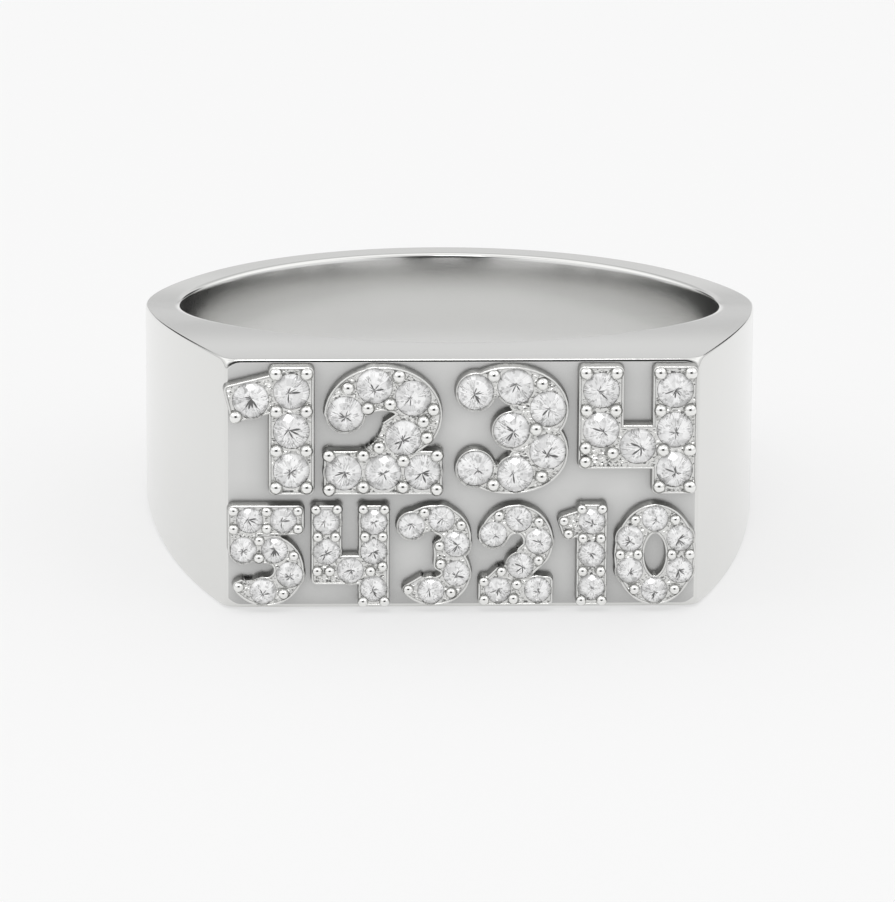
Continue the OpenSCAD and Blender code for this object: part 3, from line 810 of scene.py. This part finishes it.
def make_camera():
    back = Vector((math.sin(CAMERA_TURN) * math.cos(CAMERA_RISE),
                   -math.cos(CAMERA_TURN) * math.cos(CAMERA_RISE), math.sin(CAMERA_RISE)))
    right = (-back).cross(Vector((0, 0, 1))).normalized()
    up = right.cross(-back)
    right, up = (math.cos(CAMERA_ROLL) * right + math.sin(CAMERA_ROLL) * up,
                 math.cos(CAMERA_ROLL) * up - math.sin(CAMERA_ROLL) * right)
    aside, above = (RING_AT[0] - IMAGE_W / 2) / FOCAL_PX, (IMAGE_H / 2 - RING_AT[1]) / FOCAL_PX
    ahead = (-back - aside * right - above * up).normalized()
    right = (right - right.dot(ahead) * ahead).normalized()
    up = right.cross(ahead)
    turn = REST.to_3x3().normalized()
    basis = Matrix((turn @ right, turn @ up, turn @ -ahead)).transposed()
    data = bpy.data.cameras.new("camera")
    data.sensor_width = SENSOR_W
    data.lens = FOCAL_PX * SENSOR_W / max(IMAGE_W, IMAGE_H)
    data.clip_start, data.clip_end = CLIP
    camera = bpy.data.objects.new("camera", data)
    bpy.context.scene.collection.objects.link(camera)
    camera.matrix_world = Matrix.Translation(REST @ (CAMERA_FAR * back)) @ basis.to_4x4()
    bpy.context.scene.camera = camera


# The floor and the light, in metres
FLOOR_REACH = 3.0


def make_floor(material):
    mesh = bpy.data.meshes.new("floor")
    corners = [(x * FLOOR_REACH, y * FLOOR_REACH, 0) for x, y in ((-1, -1), (1, -1), (1, 1), (-1, 1))]
    mesh.from_pydata(corners, [], [(0, 1, 2, 3)])
    mesh.materials.append(material)
    floor = bpy.data.objects.new("floor", mesh)
    bpy.context.scene.collection.objects.link(floor)


def make_studio():
    """A white room, dimmer near the horizon, with a dark camera in a grey surround and two dark flags.

    The ring's top mirrors the horizon behind it. The beads and the edges mirror the camera as dots and dark
    lines, and the flanks mirror the flags, which stand behind them.
    """
    world = bpy.data.worlds.new("studio")
    world.use_nodes = True
    bpy.context.scene.world = world
    tree = world.node_tree
    add = partial(add_node, tree)
    looking = add("ShaderNodeTexCoord").outputs["Generated"]
    looking = add("ShaderNodeSeparateXYZ", Vector=looking)
    height = looking.outputs["Z"]
    # left and right are alike
    side = add("ShaderNodeMath", {"operation": "ABSOLUTE"}, _0=looking.outputs["X"])
    direction = add("ShaderNodeCombineXYZ", X=side, Y=looking.outputs["Y"], Z=height)

    def dark_oval(turn, rise, reach, strength=1.0):
        """How dark it is round a direction, given by its turn to the side and its rise in degrees.

        The reach is how far the oval goes along X, Y and Z.
        """
        turn, rise = math.radians(turn), math.radians(rise)
        centre = (math.sin(turn) * math.cos(rise), -math.cos(turn) * math.cos(rise), math.sin(rise))
        away = add("ShaderNodeVectorMath", {"operation": "SUBTRACT"}, _0=direction, _1=centre)
        away = add("ShaderNodeVectorMath", {"operation": "DIVIDE"}, _0=away, _1=reach)
        away = add("ShaderNodeVectorMath", {"operation": "LENGTH"}, _0=away).outputs["Value"]
        return add("ShaderNodeMapRange", {"interpolation_type": "SMOOTHSTEP"}, Value=away,
                   From_Min=1.15, From_Max=0.7, To_Min=0.0, To_Max=strength)

    camera_side = dark_oval(0, 17, (0.40, 2.0, 0.32))
    round_camera = dark_oval(0, 17, (0.56, 2.0, 0.58), 0.43)
    behind_flank = dark_oval(156, 8, (0.20, 0.5, 0.24))
    dark = add("ShaderNodeMath", {"operation": "MAXIMUM"}, _0=camera_side, _1=round_camera)
    dark = add("ShaderNodeMath", {"operation": "MAXIMUM"}, _0=dark, _1=behind_flank)
    # brighter upwards in two rises, and dimmer again overhead
    light = add("ShaderNodeMapRange", {"interpolation_type": "SMOOTHSTEP"}, Value=height,
                From_Min=0.0, From_Max=0.12, To_Min=0.60, To_Max=0.87)
    light = add("ShaderNodeMapRange", {"interpolation_type": "SMOOTHSTEP"}, Value=height,
                From_Min=0.22, From_Max=0.60, To_Min=light, To_Max=1.25)
    light = add("ShaderNodeMapRange", {"interpolation_type": "SMOOTHSTEP"}, Value=height,
                From_Min=0.80, From_Max=0.99, To_Min=light, To_Max=0.85)
    light = add("ShaderNodeMapRange", Value=dark, To_Min=light, To_Max=0.03)
    background = tree.nodes["Background"]
    background.inputs["Color"].default_value = (1, 1, 1, 1)
    tree.links.new(light.outputs["Result"], background.inputs["Strength"])


def add_softbox(name, position, target, size, power):
    data = bpy.data.lights.new(name, "AREA")
    data.shape, data.size, data.energy = "SQUARE", size, power
    softbox = bpy.data.objects.new(name, data)
    bpy.context.scene.collection.objects.link(softbox)
    softbox.location = position
    softbox.rotation_euler = (Vector(position) - Vector(target)).to_track_quat("Z", "Y").to_euler()


bpy.context.scene.view_settings.view_transform = "Standard"
band = make_band(polished_silver(), satin_silver(), tumbled_silver())
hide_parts("ring_body")
cut, dull_shaded, burnish, stone = bright_cut_silver(), dull_shaded_silver(), burnished_silver(), brilliant_stone()
for row in ROWS:
    make_plates(row, cut, dull_shaded)
    make_beads(row, burnish, dull_shaded)
    make_stones(row, stone)
make_camera()
make_floor(pale_floor())
make_studio()
add_softbox("key_light", position=(-0.04, -0.27, 0.42), target=(0, 0, 0.005), size=0.15, power=0.35)
